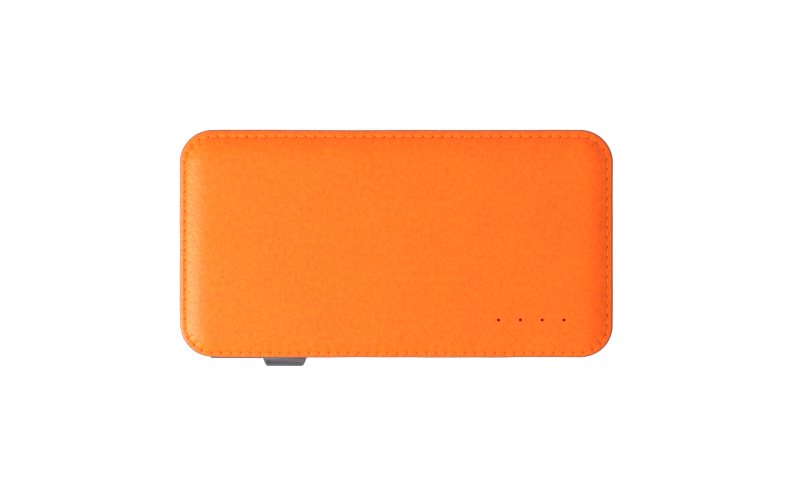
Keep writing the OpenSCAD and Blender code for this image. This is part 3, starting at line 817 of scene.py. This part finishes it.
class PIECE_OT_stitching(bpy.types.Operator):
    """Sew one stitch between each two needle holes of both covers"""

    bl_idname = "power_bank.stitching"
    bl_label = "Stitching"

    def execute(self, context):
        sizes, colours = context.scene.cover_sizes, context.scene.finishes
        lap = Lap(sizes)
        material = thread_finish(colours)
        height = MID - sizes.rise - sizes.seam_dip + sizes.thread / 3
        length, stray = lap.step * 0.84, 0.03
        for name, node, side, number in (
                ("front_thread", "front_stitching", 1, 5), ("back_thread", "back_stitching", -1, 6)):
            rng = random.Random(number)
            piece = one_stitch(sizes, length)
            places = []
            for stitch in range(sizes.stitches):
                base, out = lap.at((stitch + 0.5) * lap.step)
                place = base + out * (lap.radius + rng.uniform(-stray, stray) * MM)
                place += Vector(sizes.drift) if side > 0 else Vector((0, 0))
                slant = math.radians(rng.uniform(5, 9))
                heading = math.atan2(out.y, out.x) + math.pi / 2 + slant
                flip = Matrix.Identity(4) if side > 0 else Matrix.Rotation(math.pi, 4, "X")
                places.append(Matrix.Translation((place.x, place.y, MID + side * height))
                              @ Matrix.Rotation(heading, 4, "Z") @ flip)
            repeat(piece, places)
            piece.name = name
            smooth(piece, 60)
            stand_for(piece, node, material)
        return {"FINISHED"}


def padding(name, sizes, side):
    """Foam that follows the underside of the leather, thin at its rim."""
    glue_line, underside, inner = 0.12 * MM, 0.65 * MM, 8.3
    columns = list(Lap(sizes).columns([0, NEEDLE_GAPS[-1] * MM]))

    def ring(inset, below):
        floor = roll_height(sizes, inset * MM) - sizes.leather - below

        def height(column, x, y):
            return floor + 0.03 * MM * ripple(x, y, 300, side)

        return ring_points(columns, inset * MM, height, sizes, 0)

    upper, lower = ring(inner, glue_line), ring(inner, underside)
    top, bottom = level(upper[0][2]), level(lower[0][2])
    rings = [shrunk_ring(upper, share, top) for share in (0.6, 0.2)]
    rings += [upper] + [ring(inset, glue_line) for inset in (6.8, 5.4, 4.4, 3.8)]
    rings += [ring(inset, underside) for inset in (4.1, 4.8, 6.2)]
    rings += [lower] + [shrunk_ring(lower, share, bottom) for share in (0.2, 0.6)]
    return loft(name, rings, side)


class PIECE_OT_padding(bpy.types.Operator):
    """Model the foam under each leather"""

    bl_idname = "power_bank.padding"
    bl_label = "Padding"

    def execute(self, context):
        material = foam_finish("white_foam", (0.8, 0.8, 0.77))
        for name, node, side in (
                ("front_foam", "front_padding", 1), ("back_foam", "back_padding", -1)):
            piece = padding(name, context.scene.cover_sizes, side)
            if side > 0:
                punch_lights(piece, FOAM_HOLE)
            smooth(piece, 60)
            stand_for(piece, node, material)
        return {"FINISHED"}


class PIECE_OT_housing(bpy.types.Operator):
    """Round the edges of the side frame, lids, tray, bands and screws"""

    bl_idname = "power_bank.housing"
    bl_label = "Housing"

    def execute(self, context):
        grey = plastic_finish("grey_plastic", tuple(context.scene.finishes.plastic))
        dark = plastic_finish("dark_plastic", (0.05, 0.05, 0.053), 0.5)
        band = band_finish()
        zinc = metal_finish("zinc_screws", (0.62, 0.63, 0.66), 0.34, (1, 1, 0.1))
        softened("side_frame", "frame_shell", grey, 0.25 * MM, 3)
        softened("cable_tray", "bay_tray", grey, 0.15 * MM)
        softened("front_lid", "front_shell", dark, 0.12 * MM, 1)
        softened("back_lid", "back_shell", dark, 0.12 * MM, 1)
        softened("front_edge_band", "front_band", band, 0.08 * MM)
        softened("back_edge_band", "back_band", band, 0.08 * MM)
        softened("lid_screws", "housing_screws", zinc, 0.08 * MM)
        softened("board_screws", "standoff_screws", zinc, 0.08 * MM)
        return {"FINISHED"}


def cable_section():
    """Outline of the flat cable as (y, z) points round its middle, with two grooves on each face."""
    half_t = (CABLE_HIGH.y - CABLE_LOW.y) / 2 - 0.02 * MM
    half_w = (CABLE_HIGH.z - CABLE_LOW.z) / 2
    straight = half_w - half_t
    groove, arc_steps = 0.12 * MM, 6
    section = []
    for end in (1, -1):
        for i in range(arc_steps + 1):
            turn = math.pi * i / arc_steps
            section.append((-end * math.cos(turn) * half_t,
                            end * (straight + math.sin(turn) * half_t)))
        for z, dip in ((0.9, 0), (0.65, groove), (0.4, 0), (-0.4, 0), (-0.65, groove), (-0.9, 0)):
            section.append((end * (half_t - dip), end * z * straight))
    return section


def flat_cable_mesh(name):
    """The flat cable in short lengths, shortest at the boot."""
    section = cable_section()
    middle = (CABLE_HIGH.y + CABLE_LOW.y) / 2
    into_plug, into_boot = 0.5 * MM, 0.8 * MM
    start, stop = CABLE_LOW.x - into_plug, BOOT_LOW.x + into_boot
    steps, crowding = 110, 1.6
    vertices = []
    for i in range(steps + 1):
        x = start + (stop - start) * (1 - (1 - i / steps) ** crowding)
        vertices += [(x, middle + y, MID + z) for y, z in section]
    count = len(section)
    faces = [tuple(range(count)), tuple(reversed(range(steps * count, (steps + 1) * count)))]
    for i in range(steps):
        for j in range(count):
            k = (j + 1) % count
            faces.append((i * count + j, (i + 1) * count + j, (i + 1) * count + k, i * count + k))
    return new_piece(name, vertices, faces)


class PIECE_OT_cable(bpy.types.Operator):
    """Model the flat cable, its boot and the conductors behind it"""

    bl_idname = "power_bank.cable"
    bl_label = "Cable"

    def execute(self, context):
        rubber = rubber_finish("cable_rubber", shade(context.scene.finishes.plastic, 1.05))
        piece = flat_cable_mesh("charging_cable")
        take(piece)
        bpy.ops.object.mode_set(mode="EDIT")
        bpy.ops.mesh.select_all(action="SELECT")
        bpy.ops.mesh.normals_make_consistent(inside=False)
        bpy.ops.object.mode_set(mode="OBJECT")
        smooth(piece, 40)
        paint(piece, rubber)
        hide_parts("flat_cable")
        pivot = Vector(SWING["pos_m"])
        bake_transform(piece)
        softened("cable_boot", "strain_relief", rubber, 0.35 * MM, 3)
        softened("cable_leads", "inner_conductors",
                 rubber_finish("red_insulation", (0.5, 0.02, 0.012), 0.4), 0.05 * MM, 1)
        return {"FINISHED"}


class PIECE_OT_plug(bpy.types.Operator):
    """Model the plug's moulding with its finger grip, the metal tip and the cap"""

    bl_idname = "power_bank.plug"
    bl_label = "Plug and cap"

    def execute(self, context):
        plastic = context.scene.finishes.plastic
        grey = plastic_finish("grip_plastic", shade(plastic, 1.05), 0.4, 0.2)
        nickel = metal_finish("plug_nickel", (0.5, 0.5, 0.52), 0.3)
        softened("plug_overmould", "plug_grip", grey, 0.22 * MM, 3)
        cap = softened("plug_cap", "tip_cap", grey, 0.4 * MM, 4)
        groove_cap(cap)
        smooth(cap)
        softened("plug_shell", "plug_tip", nickel, 0.06 * MM)
        softened("plug_latches", "tip_latches", nickel, 0.08 * MM)
        softened("plug_insert", "tip_insert",
                 plastic_finish("insert_plastic", (0.02, 0.02, 0.022), 0.4), 0.06 * MM)
        return {"FINISHED"}


class PIECE_OT_sockets(bpy.types.Operator):
    """Finish the two sockets and the power button with its switch"""

    bl_idname = "power_bank.sockets"
    bl_label = "Sockets and button"

    def execute(self, context):
        nickel = metal_finish("socket_nickel", (0.55, 0.55, 0.58), 0.3)
        gold = metal_finish("contact_gold", (0.9, 0.62, 0.2), 0.22)
        black = plastic_finish("socket_black", (0.018, 0.018, 0.02), 0.45)
        plastic = context.scene.finishes.plastic
        grey = plastic_finish("button_plastic", shade(plastic, 1.1), 0.34)
        softened("usb_a_shell", "output_shell", nickel, 0.12 * MM)
        softened("usb_a_tongue", "output_tongue",
                 plastic_finish("tongue_white", (0.72, 0.72, 0.7), 0.4), 0.15 * MM)
        softened("usb_a_contacts", "output_contacts", gold, 0.05 * MM)
        softened("micro_usb_shell", "input_shell", nickel, 0.08 * MM)
        softened("micro_usb_tongue", "input_tongue", black, 0.08 * MM)
        softened("micro_usb_contacts", "input_contacts", gold, 0.02 * MM, 1)
        softened("switch_body", "tact_switch", black, 0.15 * MM)
        softened("switch_plunger", "tact_plunger",
                 plastic_finish("plunger_brown", (0.2, 0.09, 0.04)), 0.1 * MM)
        softened("power_button", "button_cap", grey, 0.35 * MM, 4)
        return {"FINISHED"}


class PIECE_OT_insides(bpy.types.Operator):
    """Finish the cells, boards, parts and wires inside"""

    bl_idname = "power_bank.insides"
    bl_label = "Insides"

    def execute(self, context):
        foil = foil_finish()
        board = board_finish()
        chip = plastic_finish("chip_black", (0.025, 0.025, 0.027), 0.38, 0.1)
        for node, name in (("front_cell", "front_pouch"), ("back_cell", "back_pouch")):
            softened(node, name, foil, 0.6 * MM, 4)
        softened("cell_tabs", "weld_tabs",
                 metal_finish("tab_nickel", (0.66, 0.65, 0.6), 0.3), 0.02 * MM, 1)
        softened("cell_tape", "film_strip", tape_finish(), 0.05 * MM, 1)
        softened("cell_pads", "foam_pads",
                 foam_finish("grey_foam", (0.09, 0.09, 0.095)), 0.08 * MM)
        softened("main_board", "power_board", board, 0.05 * MM, 1)
        softened("protection_board", "guard_board", board, 0.05 * MM, 1)
        softened("protection_chips", "guard_chips", chip, 0.1 * MM)
        softened("board_chips", "control_chips", chip, 0.12 * MM)
        softened("power_inductor", "wound_inductor",
                 plastic_finish("ferrite_grey", (0.06, 0.06, 0.065), 0.6, 0.25), 0.25 * MM)
        softened("board_capacitors", "chip_capacitors",
                 plastic_finish("ceramic_tan", (0.36, 0.24, 0.13), 0.3, 0.1), 0.12 * MM)
        softened("charge_leds", "light_emitters",
                 clear_finish("led_lens", (0.9, 0.88, 0.78), 0.85), 0.1 * MM)
        softened("light_guide", "light_bar",
                 clear_finish("red_acrylic", (0.5, 0.01, 0.001), 0.9, 0.1, 0.02), 0.12 * MM)
        softened("positive_lead", "red_wire",
                 rubber_finish("red_wire", (0.55, 0.02, 0.012), 0.4), 0.04 * MM, 1)
        softened("negative_lead", "black_wire",
                 rubber_finish("black_wire", (0.015, 0.015, 0.016), 0.4), 0.04 * MM, 1)
        return {"FINISHED"}


# ---- stage -------------------------------------------------------------------------------------

def area_light(name, place, size, power, aim):
    """A rectangular light of this size and power at a place, turned to its aim."""
    light = bpy.data.lights.new(name, "AREA")
    light.shape = "RECTANGLE"
    light.size, light.size_y = size
    light.energy = power
    lamp = bpy.data.objects.new(name, light)
    lamp.location = place
    lamp.rotation_euler = (Vector(aim) - Vector(place)).to_track_quat("-Z", "Y").to_euler()
    bpy.context.scene.collection.objects.link(lamp)


class PIECE_OT_stage(bpy.types.Operator):
    """Set up the floor, the lights and the camera"""

    bl_idname = "power_bank.stage"
    bl_label = "Stage"

    def execute(self, context):
        studio = context.scene.studio
        bpy.ops.object.select_all(action="DESELECT")
        hairline = 0.05 * MM
        bpy.ops.mesh.primitive_plane_add(size=6, location=(0, 0, -hairline))
        floor = bpy.context.object
        floor.name = "floor"
        white = Finish("floor_white", Specular_IOR_Level=0.1, Roughness=0.9, Emission_Strength=0.78)
        white.feed("Base Color", (0.36, 0.36, 0.36))
        white.feed("Emission Color", (1, 1, 1))
        paint(floor, white.material)
        world = bpy.data.worlds.new("studio")
        world.use_nodes = True
        world.node_tree.nodes["Background"].inputs["Color"].default_value = (1, 1, 1, 1)
        world.node_tree.nodes["Background"].inputs["Strength"].default_value = studio.sky
        context.scene.world = world
        area_light("key", place=(-0.35, -0.09, 0.21), size=(0.13, 0.24), power=studio.key,
                   aim=(-0.04, 0, 0))
        area_light("fill", place=(-0.5, -0.35, 0.85), size=(0.7, 0.7), power=studio.fill,
                   aim=(0, 0, 0))
        edge = COVER_HIGH.z - context.scene.cover_sizes.rise
        camera = bpy.data.cameras.new("camera")
        camera.lens = camera.sensor_width * studio.camera_height / studio.view_width
        camera.clip_end = 20
        over_x, over_y = 1.25 * MM, -2.0 * MM
        eye = bpy.data.objects.new("camera", camera)
        eye.location = (over_x, over_y, edge + studio.camera_height)
        context.scene.collection.objects.link(eye)
        context.scene.camera = eye
        context.scene.view_settings.view_transform = "Standard"
        return {"FINISHED"}


class VIEW3D_PT_power_bank(bpy.types.Panel):
    """Lists the settings and the steps in the sidebar"""

    bl_label = "Power Bank"
    bl_space_type = "VIEW_3D"
    bl_region_type = "UI"
    bl_category = "Power Bank"

    def draw(self, context):
        for group in (context.scene.cover_sizes, context.scene.finishes, context.scene.studio):
            box = self.layout.box()
            for name in group.bl_rna.properties.keys():
                if name not in ("rna_type", "name"):
                    box.prop(group, name)
        for step in STEPS:
            self.layout.operator(step.bl_idname)


STEPS = (
    PIECE_OT_stage, PIECE_OT_covers, PIECE_OT_stitching, PIECE_OT_padding, PIECE_OT_housing,
    PIECE_OT_cable, PIECE_OT_plug, PIECE_OT_sockets, PIECE_OT_insides,
)
GROUPS = {"cover_sizes": CoverSizes, "finishes": Finishes, "studio": Studio}


def register():
    for group in GROUPS.values():
        bpy.utils.register_class(group)
    for name, group in GROUPS.items():
        setattr(bpy.types.Scene, name, PointerProperty(type=group))
    for step in STEPS:
        bpy.utils.register_class(step)
    bpy.utils.register_class(VIEW3D_PT_power_bank)


def unregister():
    bpy.utils.unregister_class(VIEW3D_PT_power_bank)
    for step in reversed(STEPS):
        bpy.utils.unregister_class(step)
    for name in GROUPS:
        delattr(bpy.types.Scene, name)
    for group in reversed(GROUPS.values()):
        bpy.utils.unregister_class(group)


def main():
    register()
    bpy.ops.power_bank.stage()
    bpy.ops.power_bank.covers()
    bpy.ops.power_bank.stitching()
    bpy.ops.power_bank.padding()
    bpy.ops.power_bank.housing()
    bpy.ops.power_bank.cable()
    bpy.ops.power_bank.plug()
    bpy.ops.power_bank.sockets()
    bpy.ops.power_bank.insides()


if __name__ == "__main__":
    main()
